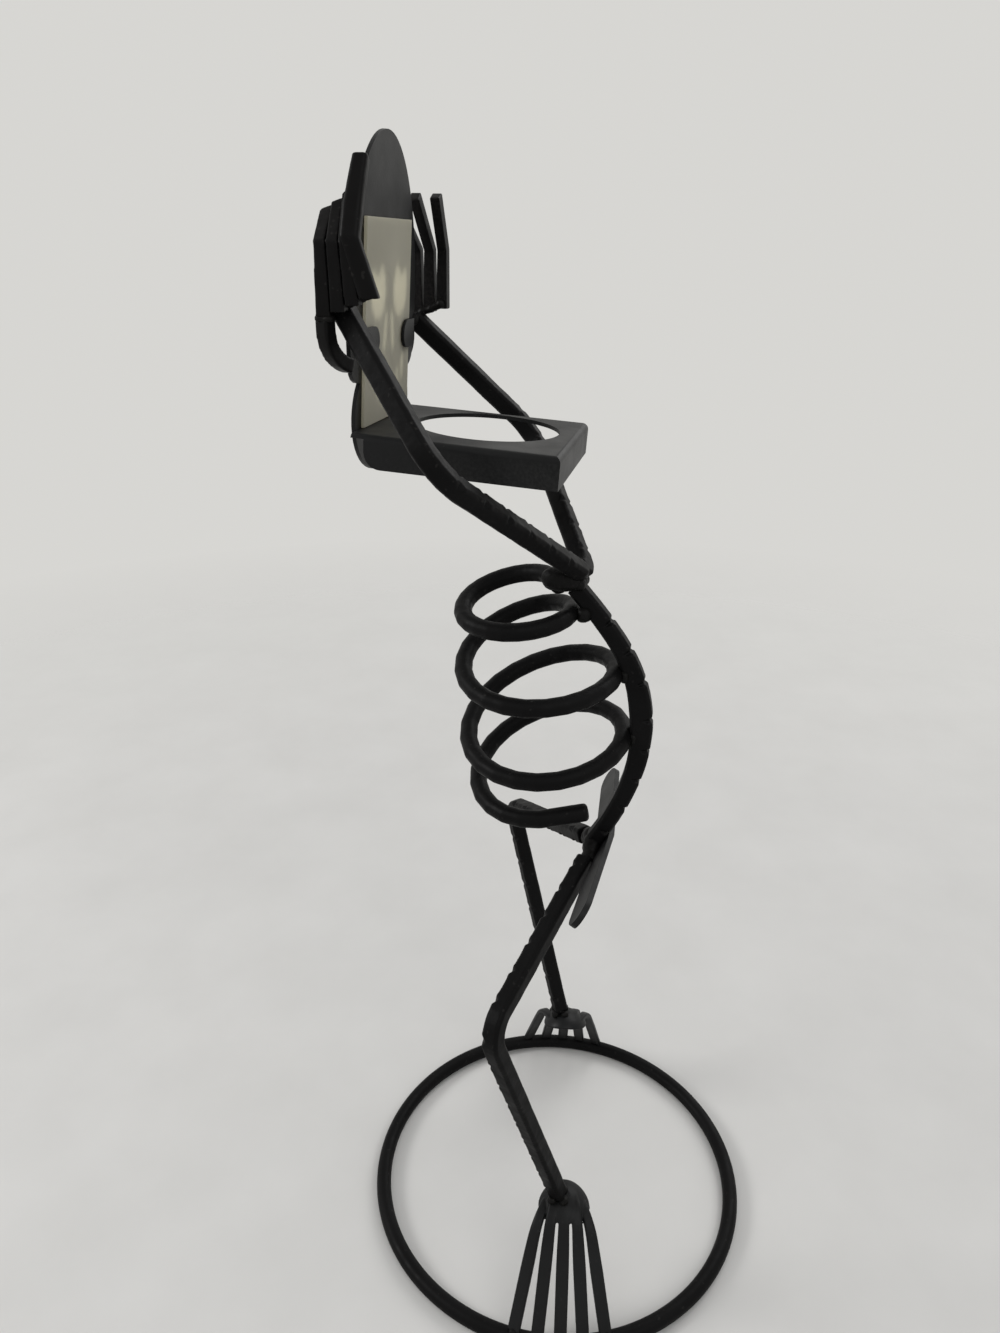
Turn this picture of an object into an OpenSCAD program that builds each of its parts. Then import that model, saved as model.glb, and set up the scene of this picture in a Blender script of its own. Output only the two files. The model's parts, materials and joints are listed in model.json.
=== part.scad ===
// Wrought iron skeleton that holds a candle: bent square bar, a coiled rib cage, sheet head and tray.
// Millimetres. Z is up, the face looks towards -Y, and +X is the figure's left hand side.

/* [Base ring] */
// Radius of the ring to the middle of its rod
ring_r = 73; // [66:0.5:80]
// Diameter of the ring's round rod
ring_rod = 6; // [5:0.1:8]

/* [Square bar] */
// Side of the square bar in limbs and spine
bar = 5.9; // [5.5:0.05:6.5]
// Width of the bar's worn corners
bar_corner = 0.9; // [0.5:0.05:1.2]
// Width of a hammered notch across a corner
notch_cut = 1.9; // [1.4:0.05:2.6]
// Distance between hammered notches along a bar
notch_pitch = 11.2; // [9:0.1:14]

/* [Welds] */
// Gap left inside each welded butt
weld_gap = 0.2; // [0.1:0.05:0.4]
// Radius of a drop of weld metal on the coil
weld_r = 2.2; // [1.8:0.1:2.6]

/* [Feet] */
// How far each ankle stands inside the middle of the ring's rod
ankle_in = 26; // [23:0.5:29]
// Height of the foot's top
foot_top = 46; // [40:0.5:52]
// Thickness of the foot's sheet
foot_sheet = 2.4; // [1.8:0.1:3]
// How far the middle toe lies behind the ankle
foot_back = 2.5; // [0:0.1:4]
// How far the foot's top reaches inside of the ankle
foot_in = 6; // [4.5:0.25:8]
// Number of toes on a foot
toe_count = 5; // [4:1:6]
// Width of a toe
toe_w = 4.5; // [3.6:0.1:4.8]
// Angle of the outer toe from the middle one
toe_fan_angle = 26; // [22:1:30]
// Distance from the ankle in to the point that the toes fan from
toe_root = 10; // [9:0.5:12]
// Slope of the toes
toe_slant = 62; // [58:0.5:66]
// Radius of the bend at the top of each toe
toe_bend = 9; // [6:0.5:11]

/* [Legs] */
// How far each knee stands out from the middle
knee_out = 68.5; // [60:0.5:74]
// How far the knees come forward
knee_front = 24.5; // [16:0.5:32]
// Height of the knees
knee_z = 141.5; // [132:0.5:150]
// Radius of the bend at the knee
knee_bend = 9; // [7:0.5:14]
// Height of the hips
hip_z = 166; // [162:0.5:168]
// Gap between each thigh's cut end and the middle of the body
hip_out = 8; // [7.5:0.1:10]
// How far behind the middle the hips lie
hip_back = 5.5; // [4:0.1:8]

/* [Spine and pelvis] */
// Twist of the body on the legs
twist = 8.5; // [0:0.5:12]
// How far behind the middle the spine ends
spine_foot_back = 8.5; // [6:0.5:11]
// Height of the spine's lower end above the hips
spine_foot_up = 5; // [3:0.5:8]
// Lean of the spine at its lower end
spine_foot_lean = 30.5; // [26:0.5:35]
// Length of the lower handle of the spine's curve
spine_foot_pull = 57.5; // [52:0.5:62]
// How far the spine's upper end lies below the plane of the arms
spine_under = 5.2; // [4:0.1:5.5]
// Lean of the spine at the shoulder
spine_top_lean = 42; // [40:0.5:44]
// Length of the upper handle of the spine's curve
spine_top_pull = 29.5; // [25:0.5:34]
// Half the span of the pelvis plate
wing_span = 49; // [40:0.5:54]
// Width of a pelvis wing
wing_chord = 10.5; // [9:0.5:13]
// Forward sweep of each wing
wing_sweep = 4; // [0:0.5:8]
// Thickness of the pelvis sheet
wing_sheet = 2; // [1.5:0.1:2.5]

/* [Rib coil] */
// Diameter of the coil's round rod
rib_rod = 6.2; // [5:0.1:7]
// Number of turns
rib_turn_count = 3.8; // [3.4:0.05:4]
// Share of the first turn that is left out, so that the cut end stays behind the spine's side
rib_skip = 0.05; // [0.03:0.01:0.07]
// How far forward the first turn reaches
rib_front = 41.8; // [40:0.1:44]
// Growth of that reach in each turn
rib_swell = 1.4; // [1:0.1:1.8]
// Drawing in of the reach, which wins in the last turn
rib_draw_in = 0.8; // [0.6:0.05:1]
// Drop from the shoulder bend's corner to the middle of the coil's start
rib_below = 5.9; // [5.5:0.1:6.7]
// Drop per turn where the winding starts
rib_drop = 0.8; // [0.4:0.1:1.2]
// How fast the pitch opens
rib_open = 11.3; // [11:0.05:11.6]
// How fast the pitch closes again
rib_close = 1.85; // [1.78:0.01:1.92]
// Forward tilt of the turns
rib_tilt_angle = 11.5; // [9:0.5:14]
// Sideways tilt of the first turn
rib_roll_angle = 7; // [5:0.5:9]
// Extra sideways tilt for each turn after that
rib_roll_more_angle = 2.3; // [1.5:0.1:3]

/* [Arms] */
// How far behind the middle the shoulder bend's corner lies
shoulder_back = 1.2; // [0.5:0.1:2]
// How far that corner lies towards the figure's right
shoulder_aside = 3; // [1.5:0.1:4]
// Height of the shoulder bend's corner
shoulder_z = 267.5; // [265:0.5:270]
// Slope of the plane that both arms lie in
arm_slope = 51.5; // [48:0.5:55]
// How far the left elbow stands out
left_elbow_out = 54; // [48:0.5:58]
// Distance up the slope from shoulder to left elbow
left_upper_arm = 54.5; // [51:0.5:58]
// How far the right elbow stands out
right_elbow_out = 56.5; // [50:0.5:60]
// Distance up the slope from shoulder to right elbow
right_upper_arm = 45.5; // [42:0.5:49]
// How much lower the right wrist lies than the left one
right_wrist_drop = 6.4; // [4:0.1:8]
// Radius of the bend at the shoulder
shoulder_bend = 8; // [6:0.25:9]
// Radius of the bends at the elbows
elbow_bend = 15; // [10:0.5:17]

/* [Candle tray] */
// Length of the tray behind the face
tray_len = 61.5; // [56:0.5:68]
// Width of the tray
tray_w = 59; // [55:0.5:64]
// Depth of the tray's turned down edges
tray_lip = 9.7; // [6:0.1:12]
// Thickness of the sheet in tray and face
sheet = 1.2; // [1:0.1:1.6]
// Outer radius of the tray's folds
fold_r = 2; // [1.8:0.1:3]
// Distance from the face to the start of the turned down left edge
lip_from = 4; // [3:0.25:6]
// Radius of that edge's front corner
lip_corner = 5; // [3:0.25:6]
// Radius of the candle hole
hole_r = 22.5; // [20:0.25:23.5]
// Distance of the hole's middle from the face
hole_back = 33; // [31:0.5:36]
// Width of the rim between the hole and the tray's right edge
hole_rim = 2.5; // [1.5:0.25:4]
// How far forward the head's sheet joint lies
head_front = 65.3; // [63:0.1:68]
// Height of the tray at the face above the shoulder bend
head_up = 48; // [45:0.5:51]
// Backward lean of the face, and of the tray with it
head_lean = 3.5; // [2:0.5:6]

/* [Face] */
// Height of the crown above the tray
crown_up = 80; // [76:0.5:86]
// Height of the widest part of the skull above the tray
temple_up = 33; // [30:0.5:36]
// Half the skull's width
temple_half = 30.5; // [28:0.25:32]
// Half the jaw's width
jaw_half = 25.5; // [24:0.25:27]
// Depth of the chin below the tray
chin_down = 15.5; // [12:0.5:18]
// Height above the tray where cheek and jaw meet
cheek_up = 13; // [11:0.1:14]
// Half the height of an eye socket
eye_tall = 7.7; // [6.5:0.1:9]
// Half the width of an eye socket
eye_wide = 6.7; // [5:0.1:7.5]
// Distance between the middles of the eye sockets
eye_apart = 20.5; // [18:0.5:23]
// Height of the eye sockets above the tray
eye_up = 37.7; // [36:0.1:42]
// Length of a nose slit
nose_tall = 11.5; // [9:0.25:12]
// Width of a nose slit
nose_wide = 2.6; // [2:0.1:3]
// Height of the grin above the tray
grin_up = 8; // [7:0.25:9]
// Rise of the grin at its ends
grin_rise = 7; // [3:0.5:8]
// Height of a slot in the grin
grin_tall = 7.5; // [5:0.25:8]
// Number of slots in the grin
grin_slots = 7; // [5:2:9]

/* [Glow panel] */
// Height of the panel
panel_tall = 57; // [50:0.5:62]
// Half the panel's width at the top
panel_top_half = 20.5; // [18:0.25:22]
// Half the panel's width at the tray
panel_foot_half = 21; // [18:0.25:22]
// Thickness of the panel
panel_sheet = 1; // [0.8:0.1:1.6]
// Clearance round the panel
panel_gap = 0.25; // [0.15:0.05:0.4]
// Height of the lower edge of the holding ears
ear_up = 20; // [17:0.5:24]
// Height of a holding ear
ear_tall = 8.5; // [6:0.5:10]
// Thickness of a holding ear
ear_sheet = 1; // [0.8:0.1:1.4]
// How far an ear reaches over the panel's edge
ear_over = 9.5; // [7:0.25:11]

/* [Hands] */
// Thickness of a finger, and its width at the foot
finger = 4; // [3.4:0.1:4.4]
// Width of a finger from the knuckle up
finger_slim = 3.2; // [2.8:0.1:3.6]
// Gap between neighbouring fingers
finger_gap = 0.25; // [0.15:0.05:0.5]
// Height of the knuckles above the front finger's foot
finger_low = 18; // [14:0.5:22]
// How much higher the back finger's foot lies
finger_step = 5; // [3:0.25:7]
// Length of the left front finger beyond its knuckle
left_front_tip = 13.5; // [12:0.5:16]
// Length of the left back finger beyond its knuckle
left_back_tip = 23; // [20:0.5:26]
// How far forward the tips of the left fingers lean
left_fan = 1.3; // [0.5:0.1:2]
// Length of the right front finger beyond its knuckle
right_front_tip = 21.5; // [18:0.5:23]
// Length of the right back finger beyond its knuckle
right_back_tip = 17.5; // [15:0.5:20]
// How far forward the tip of the right front finger fans
right_front_fan = 5.6; // [4:0.1:7]
// How far forward the tip of the right back finger fans
right_back_fan = 0.4; // [0:0.1:1]
// Outward lean of the lower half
finger_lean_angle = 1.5; // [0:0.5:6]
// Inward curl of the front finger's upper half
finger_front_curl_angle = 52; // [40:1:60]
// Inward curl of the back finger's upper half
finger_back_curl_angle = 24; // [16:1:32]
// How far the left fingers sit behind the wrist
left_hand_back = 3.4; // [2.5:0.1:4]
// How far the right fingers sit behind the wrist
right_hand_back = 1.6; // [1:0.1:2.5]
// Radius of the thumb's hook
thumb_r = 9.5; // [8:0.5:10]
// Length of the thumb's straight tip
thumb_tip = 2.2; // [1:0.1:2.4]
// Turn of the left hook towards the back, and of the right one towards the front
thumb_turn_angle = 22; // [15:1:25]

/* [Hidden] */
$fn = 48;
// rings on a bar: each notch has a lip, its bottom and a second lip
rings_per_notch = 7;
bar_step = notch_pitch / rings_per_notch;
rib_sides = 14;
rib_rings = 24;
iron = [0.10, 0.10, 0.11];
sheet_iron = [0.30, 0.31, 0.33];
weld_iron = [0.45, 0.42, 0.38];
cream = [0.86, 0.84, 0.76];
// heights and reaches that several pieces share
ring_rod_r = ring_rod / 2;
rib_r = rib_rod / 2;
half = bar / 2;
// a bar that passes a piece at a slant needs a little more than half its side
slant_half = half * 1.12;
ankle_out = ring_r - ankle_in;
spine_foot_z = hip_z + spine_foot_up;
rib_top = shoulder_z - rib_below;
head_z = shoulder_z + head_up;
hole_aside = tray_w / 2 - hole_rim - hole_r;
hip = [hip_out, hip_back, hip_z];
knee = [knee_out, -knee_front, knee_z];
// the shin's cut end clears the foot at every corner
shin_way = unit([ankle_out, 0, foot_top] - knee);
shin_rise = half * (abs(shin_way[0]) + abs(shin_way[1])) / abs(shin_way[2]);
ankle = [ankle_out, 0, foot_top + weld_gap + shin_rise];

// Vectors and curves
function unit(v) = v / norm(v);
function mix(a, b, t) = a + (b - a) * t;
function bezier(p, t) =
    p[0] * pow(1 - t, 3) + p[1] * 3 * t * pow(1 - t, 2) + p[2] * 3 * t * t * (1 - t) + p[3] * pow(t, 3);
// the points of a straight stretch, without its last one
function straight(p, q, step) =
    let (n = max(1, round(norm(q - p) / step)))
    [for (i = [0:n - 1]) mix(p, q, i / n)];
// a bend of radius r at corner b of the way from a over b to c: its start, its points and its end
function bend(a, b, c, r, step) =
    let (
        u = unit(b - a),
        v = unit(c - b),
        turn = acos(u * v),
        back = r * tan(turn / 2),
        first = b - u * back,
        centre = b + unit(v - u) * (r / cos(turn / 2)),
        arm = (first - centre) / r,
        n = max(2, round(r * turn * PI / 180 / step))
    )
    [
        first,
        [for (i = [0:n - 1]) centre + r * (arm * cos(turn * i / n) + u * sin(turn * i / n))],
        b + v * back
    ];

// A square bar swept along points, with notches hammered across the two corners on the marked side
function bar_cut(i) =
    let (phase = i % rings_per_notch)
    phase == 3 ? notch_cut : phase == 2 || phase == 4 ? bar_corner * 0.6 : bar_corner;
function bar_section(c) = let (h = half, w = bar_corner) [
    [h, h - c], [h - c, h], [c - h, h], [-h, h - c], [-h, w - h], [w - h, -h], [h - w, -h], [h, w - h]
];
function way(path, i) =
    unit(path[min(i + 1, len(path) - 1)] - path[max(i - 1, 0)]);
// the rings counted as plain, at either end, have no notches
module bar_along(path, marked, plain = 1) {
    n = len(path);
    points = [
        for (i = [0:n - 1])
            let (
                t = way(path, i),
                side = unit(cross(t, marked)),
                up = cross(side, t),
                cut = i < plain || i > n - 1 - plain ? bar_corner : bar_cut(i)
            )
            for (p = bar_section(cut)) path[i] + side * p[0] + up * p[1]
    ];
    skin_tube(points, n, 8);
}
// closes rings of points into one solid, all faces triangles
module skin_tube(points, rings, sides) {
    last = (rings - 1) * sides;
    faces = concat(
        [
            for (i = [0:rings - 2], k = [0:sides - 1], half_face = [0, 1])
                let (a = i * sides + k, b = i * sides + (k + 1) % sides)
                half_face == 0 ? [a, b, b + sides] : [a, b + sides, a + sides]
        ],
        [for (k = [1:sides - 2]) [0, k + 1, k]],
        [for (k = [1:sides - 2]) [last, last + k, last + k + 1]]
    );
    polyhedron(points = points, faces = faces, convexity = 8);
}

// Everything above the hips turns on the legs
module body() {
    rotate([0, 0, -twist])
        children();
}
module both_sides() {
    children();
    mirror([1, 0, 0])
        children();
}
// a bead of weld metal: a short row of overlapping drops
module bead(p, q, r, drops = 3) {
    for (i = [0:drops - 1])
        translate(mix(p, q, drops > 1 ? i / (drops - 1) : 0))
            sphere(r = r * (i % 2 == 0 ? 1 : 0.9));
}

// Base ring
module base_ring() {
    color(iron)
        translate([0, 0, ring_rod_r])
            rotate_extrude($fn = 96)
                translate([ring_r, 0])
                    circle(r = ring_rod_r, $fn = 24);
}

// Feet: a sheet cut into toes, bent over at the ankle and run down to the ring
toe_start = [ankle_out - toe_root, foot_back];
function toe_angle(i) = toe_fan_angle * (2 * i / (toe_count - 1) - 1);
// distance along a toe, seen from above, from where the toes fan to the ring's rod
function toe_reach(a) =
    let (along = toe_start * [cos(a), sin(a)])
    sqrt(pow(along, 2) - toe_start * toe_start + pow(ring_r, 2)) - along;
// the toe's end stands on top of the rod, a little towards its outer side
toe_aim = ring_rod_r * 0.5;
function toe_end(a) =
    [toe_reach(a) + toe_aim, ring_rod_r]
    - [cos(toe_slant), -sin(toe_slant)] * (ring_rod_r + toe_aim * cos(toe_slant) + weld_gap);
// the toe's middle line in its own upright plane: flat top, bend and slope
function toe_line(a) =
    let (
        end = toe_end(a),
        top = foot_top - foot_sheet / 2,
        corner = [end[0] - (top - end[1]) / tan(toe_slant), top],
        turn = toe_bend * tan(toe_slant / 2)
    )
    concat(
        [[toe_root - foot_in, top]],
        [
            for (t = [0:toe_slant / 6:toe_slant])
                [corner[0] - turn + toe_bend * sin(t), top - toe_bend * (1 - cos(t))]
        ],
        [end]
    );
// turns a middle line into a strip of even thickness
function strip(line, t) =
    let (
        n = len(line),
        normal = [
            for (i = [0:n - 1])
                let (
                    a = unit(line[max(i, 1)] - line[max(i, 1) - 1]),
                    b = unit(line[min(i + 1, n - 1)] - line[min(i + 1, n - 1) - 1]),
                    m = unit([-a[1] - b[1], a[0] + b[0]])
                )
                m / (m * [-a[1], a[0]])
        ]
    )
    concat(
        [for (i = [0:n - 1]) line[i] + normal[i] * t / 2],
        [for (i = [n - 1:-1:0]) line[i] - normal[i] * t / 2]
    );
module foot() {
    translate([toe_start[0], toe_start[1], 0])
        for (i = [0:toe_count - 1])
            rotate([90, 0, toe_angle(i)])
                linear_extrude(height = toe_w, center = true)
                    polygon(strip(toe_line(toe_angle(i)), foot_sheet));
}
module left_foot() { color(iron) foot(); }
module right_foot() { color(iron) mirror([1, 0, 0]) foot(); }

// Legs: one bar each from hip over knee to ankle
leg_turn = bend(hip, knee, ankle, knee_bend, bar_step);
leg_path = concat(
    straight(hip, leg_turn[0], bar_step),
    leg_turn[1],
    straight(leg_turn[2], ankle, bar_step),
    [ankle]
);
leg_marked = unit(cross(ankle - knee, knee - hip));
module left_leg() { color(iron) bar_along(leg_path, leg_marked); }
module right_leg() { color(iron) mirror([1, 0, 0]) bar_along(leg_path, leg_marked); }

// Arms: one bar for both, its bends at shoulder and elbows laid in a sloping plane
function in_arm_plane(x, s) = [x, shoulder_back - s * cos(arm_slope), shoulder_z + s * sin(arm_slope)];
arm_down = [0, cos(arm_slope), -sin(arm_slope)];
arm_marked = [0, sin(arm_slope), cos(arm_slope)];
// the left wrist lies against the edge of the face, where the arm's plane meets the sheet
wrist_s = let (d = tan(head_lean))
    (head_front + shoulder_back - d * (shoulder_z - head_z)) / (cos(arm_slope) + d * sin(arm_slope)) + 1;
// the right wrist lies lower
hand_drops = [0, right_wrist_drop];
function hand_up(hand) = (shoulder_z + wrist_s * sin(arm_slope) - hand_drops[hand] - head_z) / cos(head_lean);
// both wrists as they lie on the left side
wrists = [
    for (hand = [0, 1])
        in_arm_plane(skull_half(hand_up(hand)) + slant_half + weld_gap, wrist_s)
        - hand_drops[hand] * [0, tan(head_lean), 1]
];
function mirrored(p) = [-p[0], p[1], p[2]];
shoulder = in_arm_plane(-shoulder_aside, 0);
elbow = in_arm_plane(left_elbow_out, left_upper_arm);
right_elbow = in_arm_plane(-right_elbow_out, right_upper_arm);
arm_turns = [
    bend(mirrored(wrists[1]), right_elbow, shoulder, elbow_bend, bar_step),
    bend(right_elbow, shoulder, elbow, shoulder_bend, bar_step),
    bend(shoulder, elbow, wrists[0], elbow_bend, bar_step)
];
right_forearm = straight(mirrored(wrists[1]), arm_turns[0][0], bar_step);
arm_path = concat(
    right_forearm,
    arm_turns[0][1],
    straight(arm_turns[0][2], arm_turns[1][0], bar_step),
    arm_turns[1][1],
    straight(arm_turns[1][2], arm_turns[2][0], bar_step),
    arm_turns[2][1],
    straight(arm_turns[2][2], wrists[0], bar_step),
    [wrists[0]]
);
// the forearms are plain
module arms() { color(iron) body() bar_along(arm_path, arm_marked, len(right_forearm)); }

// Spine: a curve that bulges back, its upper end butted low against the shoulder bend
upper_arm_ways = [unit(elbow - shoulder), unit(right_elbow - shoulder)];
bend_apex = shoulder
    + unit(upper_arm_ways[0] + upper_arm_ways[1])
    * shoulder_bend * (1 / sin(acos(upper_arm_ways[0] * upper_arm_ways[1]) / 2) - 1);
spine_way_up = [0, -sin(spine_top_lean), cos(spine_top_lean)];
spine_top = bend_apex + arm_down * (half * 1.04 + weld_gap) - arm_marked * spine_under;
spine_foot = [0, spine_foot_back, spine_foot_z];
spine_handles = [
    spine_foot,
    spine_foot + [0, sin(spine_foot_lean), cos(spine_foot_lean)] * spine_foot_pull,
    spine_top - spine_way_up * spine_top_pull,
    spine_top
];
spine_rings = round(norm(spine_top - spine_foot) * 1.12 / bar_step);
spine_path = [for (i = [0:spine_rings]) bezier(spine_handles, i / spine_rings)];
module spine() { color(iron) body() bar_along(spine_path, [0, 1, 0]); }
// where the spine runs at a given height, and how far its front lies from that
function spine_back(z) = lookup(z, [for (p = spine_path) [p[2], p[1]]]);
function spine_side(z) = lookup(z, [for (p = spine_path) [p[2], p[0]]]);
function spine_slant(z) = sqrt(1 + pow((spine_back(z + half) - spine_back(z - half)) / bar, 2));
function spine_half(z) = half * spine_slant(z);

// Pelvis: a two winged plate laid on the back of the spine's lower end
wing_root = wing_chord * 0.62;
function wing_outline() = concat(
    [[0, wing_chord / 2], [wing_span * 0.86, wing_chord / 2]],
    [
        for (a = [75:-15:-75])
            [wing_span * 0.86, 0] + [wing_span * 0.14 * cos(a), wing_chord / 2 * sin(a)]
    ],
    [
        [wing_span * 0.86, -wing_chord / 2], [wing_span * 0.45, -wing_chord / 2],
        [wing_span * 0.2, -wing_root / 2], [0, -wing_root / 2]
    ]
);
module pelvis_plate() {
    seat = half + weld_gap + wing_sheet / 2;
    color(sheet_iron)
        body()
            translate(spine_foot + [0, cos(spine_foot_lean), -sin(spine_foot_lean)] * seat)
                rotate([90 - spine_foot_lean, 0, 0])
                    both_sides()
                        rotate([0, -wing_sweep, 0])
                            linear_extrude(height = wing_sheet, center = true)
                                polygon(wing_outline());
}

// Rib coil: one rod wound left handed, wider with each turn, its back resting along the spine
function rib_mid(n) = rib_top - rib_drop * n - rib_open * n * n + rib_close * pow(n, 3);
// the back of a turn lies against the spine, its front reaches out and draws in again
function rib_back(n) =
    let (z = rib_mid(n) + tan(rib_tilt_angle) * rib_front / 2)
    spine_back(z) - (half + rib_r + 2 * weld_gap) * spine_slant(z);
function rib_fore(n) = rib_r - rib_front - rib_swell * n + rib_draw_in * n * n;
function rib_point(n) =
    let (
        back = rib_back(n),
        fore = rib_fore(n),
        r = (back - fore) / 2,
        fore_aft = r * cos(360 * n),
        aside = r * sin(360 * n)
    )
    [
        -aside,
        (back + fore) / 2 + fore_aft,
        rib_mid(n) + tan(rib_tilt_angle) * fore_aft + tan(rib_roll_angle + rib_roll_more_angle * n) * aside
    ];
rib_count = ceil((rib_turn_count - rib_skip) * rib_rings);
rib_curve = [for (i = [0:rib_count]) rib_point(mix(rib_skip, rib_turn_count, i / rib_count))];
// both cut ends run straight for one rod diameter
rib_first_way = unit(rib_curve[0] - rib_curve[1]);
rib_last_way = unit(rib_curve[rib_count] - rib_curve[rib_count - 1]);
rib_path = concat(
    [rib_curve[0] + rib_first_way * rib_rod],
    rib_curve,
    [rib_curve[rib_count] + rib_last_way * rib_rod]
);
rib_gap = min([
    for (i = [0:len(rib_path) - 1], j = [i + rib_rings / 2:1:len(rib_path) - 1])
        norm(rib_path[i] - rib_path[j])
]) - rib_rod;
echo(rib_coil_least_gap_to_itself = rib_gap);
module rib_coil() {
    n = len(rib_path);
    points = [
        for (i = [0:n - 1])
            let (t = way(rib_path, i), side = unit(cross(t, [0, 0, 1])), up = cross(side, t))
            for (k = [0:rib_sides - 1])
                rib_path[i] + rib_r * (side * cos(360 * k / rib_sides) + up * sin(360 * k / rib_sides))
    ];
    color(iron)
        body()
            skin_tube(points, n, rib_sides);
}

// Head: the face stands square on the tray, and both lean back together
module head() {
    body()
        translate([0, -head_front, head_z])
            rotate([-head_lean, 0, 0])
                children();
}
// half the skull's width at a height above the tray
function skull_half(up) = temple_half * sqrt(max(0, 1 - pow((up - temple_up) / (crown_up - temple_up), 2)));
// the jaw is widest a little above the tray, and a hollow lies between cheek and jaw
jaw_mid = 3;
cheek_r = 5;
function jaw_half_at(up) = jaw_half * sqrt(max(0, 1 - pow((up - jaw_mid) / (chin_down + jaw_mid), 2)));
cheek_low = asin((cheek_up + cheek_r - temple_up) / (crown_up - temple_up));
jaw_top = asin((cheek_up - jaw_mid) / (chin_down + jaw_mid));
function face_side() = concat(
    [
        for (i = [0:24])
            let (a = mix(90, cheek_low, i / 24))
            [temple_half * cos(a), temple_up + (crown_up - temple_up) * sin(a)]
    ],
    [
        for (i = [1:4])
            let (a = 22.5 * i, r = skull_half(cheek_up + cheek_r) - jaw_half_at(cheek_up))
            [jaw_half_at(cheek_up) + r * cos(a), cheek_up + cheek_r * (1 - sin(a))]
    ],
    [
        for (i = [1:16])
            let (a = mix(jaw_top, -90, i / 16))
            [jaw_half * cos(a), jaw_mid + (chin_down + jaw_mid) * sin(a)]
    ]
);
module face_outline() {
    side = face_side();
    n = len(side);
    polygon(concat(side, [for (i = [n - 2:-1:1]) [-side[i][0], side[i][1]]]));
}
module upright_slot(w, tall) {
    square([w, tall - w], center = true);
    for (s = [-1, 1])
        translate([0, s * (tall - w) / 2])
            circle(d = w, $fn = 24);
}
// an eye socket: round below, two corners above with a notch under the brow
function eye_outline() = concat(
    [for (a = [180:12:360]) [eye_wide * cos(a), eye_tall * sin(a)]],
    [
        for (p = [[0.95, 0.45], [0.68, 0.92], [0, 0.55], [-0.68, 0.92], [-0.95, 0.45]])
            [eye_wide * p[0], eye_tall * p[1]]
    ]
);
nose_out = nose_wide * 1.3;
nose_up = eye_up - eye_tall - nose_tall / 3;
grin_wide = 1.26 * jaw_half;
module face_cuts() {
    both_sides() {
        // drooping outwards
        translate([eye_apart / 2, eye_up])
            rotate(-8)
                polygon(eye_outline());
        // one half of the nose
        translate([nose_out, nose_up])
            rotate(9)
                upright_slot(nose_wide, nose_tall);
    }
    // the grin, a row of slots that rises to both sides
    for (i = [0:grin_slots - 1])
        let (share = 2 * i / (grin_slots - 1) - 1)
        translate([share * (grin_wide - grin_wide / grin_slots) / 2, grin_up + grin_rise * share * share])
            upright_slot(0.52 * grin_wide / grin_slots, grin_tall);
}
ear_root = max(panel_top_half, panel_foot_half) + panel_gap;
ear_back = panel_sheet + 2 * panel_gap;
// an ear stands on the back of the face beside the panel and folds over its edge
module ear() {
    over = ear_root - ear_over + ear_tall / 2;
    translate([ear_root, -sheet / 2, ear_up])
        cube([ear_sheet, sheet / 2 + ear_back + ear_sheet, ear_tall]);
    translate([0, ear_back + ear_sheet, ear_up])
        rotate([90, 0, 0])
            linear_extrude(height = ear_sheet) {
                translate([over, 0])
                    square([ear_root + ear_sheet - over, ear_tall]);
                translate([over, ear_tall / 2])
                    circle(d = ear_tall);
            }
}
module face_plate() {
    color(sheet_iron)
        head() {
            rotate([90, 0, 0])
                linear_extrude(height = sheet)
                    difference() {
                        face_outline();
                        face_cuts();
                    }
            both_sides()
                ear();
        }
}

// Tray: sheet with the candle hole, its back end and left edge folded down
// a block as seen along one fold, from -w to the fold's outer side, with its upper corner rounded
module folded_side(w, edge, r, deep) {
    translate([-w, -deep])
        square([w + edge, deep - r]);
    translate([-w, -deep])
        square([w + edge - r, deep]);
    translate([edge - r, -r])
        circle(r = r, $fn = 32);
}
// the block under the tray's skin, drawn in by t and open towards face and right side
module folded_block(t, deep) {
    reach = tray_w + 2 * t;
    translate([0, 0, -t])
        intersection() {
            translate([0, tray_len, 0])
                rotate([90, 0, 0])
                    linear_extrude(height = tray_len + 2 * t)
                        folded_side(tray_w / 2 + 2 * t, tray_w / 2 - t, fold_r - t, deep);
            translate([-reach, 0, 0])
                rotate([90, 0, 90])
                    linear_extrude(height = 2 * reach)
                        folded_side(2 * t, tray_len - t, fold_r - t, deep);
        }
}
module candle_tray() {
    color(sheet_iron)
        head()
            difference() {
                folded_block(0, tray_lip);
                folded_block(sheet, 2 * tray_lip);
                translate([-hole_aside, hole_back, -2 * sheet])
                    cylinder(r = hole_r, h = 4 * sheet);
                // the left fold starts a little behind the face, with a rounded corner
                translate([tray_w / 4, 0, 0])
                    rotate([90, 0, 90])
                        linear_extrude(height = tray_w)
                            difference() {
                                translate([-sheet, -2 * tray_lip])
                                    square([lip_from + lip_corner + sheet, 2 * tray_lip - sheet]);
                                translate([lip_from, -tray_lip + lip_corner])
                                    square([2 * lip_corner, tray_lip]);
                                translate([lip_from + lip_corner, -tray_lip + lip_corner])
                                    circle(r = lip_corner, $fn = 48);
                            }
            }
}

// Glow panel: translucent sheet that stands on the tray behind the face and lifts out
module glow_panel() {
    color(cream)
        head()
            translate([0, panel_gap + panel_sheet, panel_gap])
                rotate([90, 0, 0])
                    linear_extrude(height = panel_sheet)
                        polygon([
                            [-panel_foot_half, 0], [panel_foot_half, 0],
                            [panel_top_half, panel_tall], [-panel_top_half, panel_tall]
                        ]);
}

// Hands: four bars side by side on the wrist, drawn together at the knuckles, and a thumb that hooks inwards
finger_pitch = finger + finger_gap;
slim_pitch = finger_slim + finger_gap;
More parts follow.
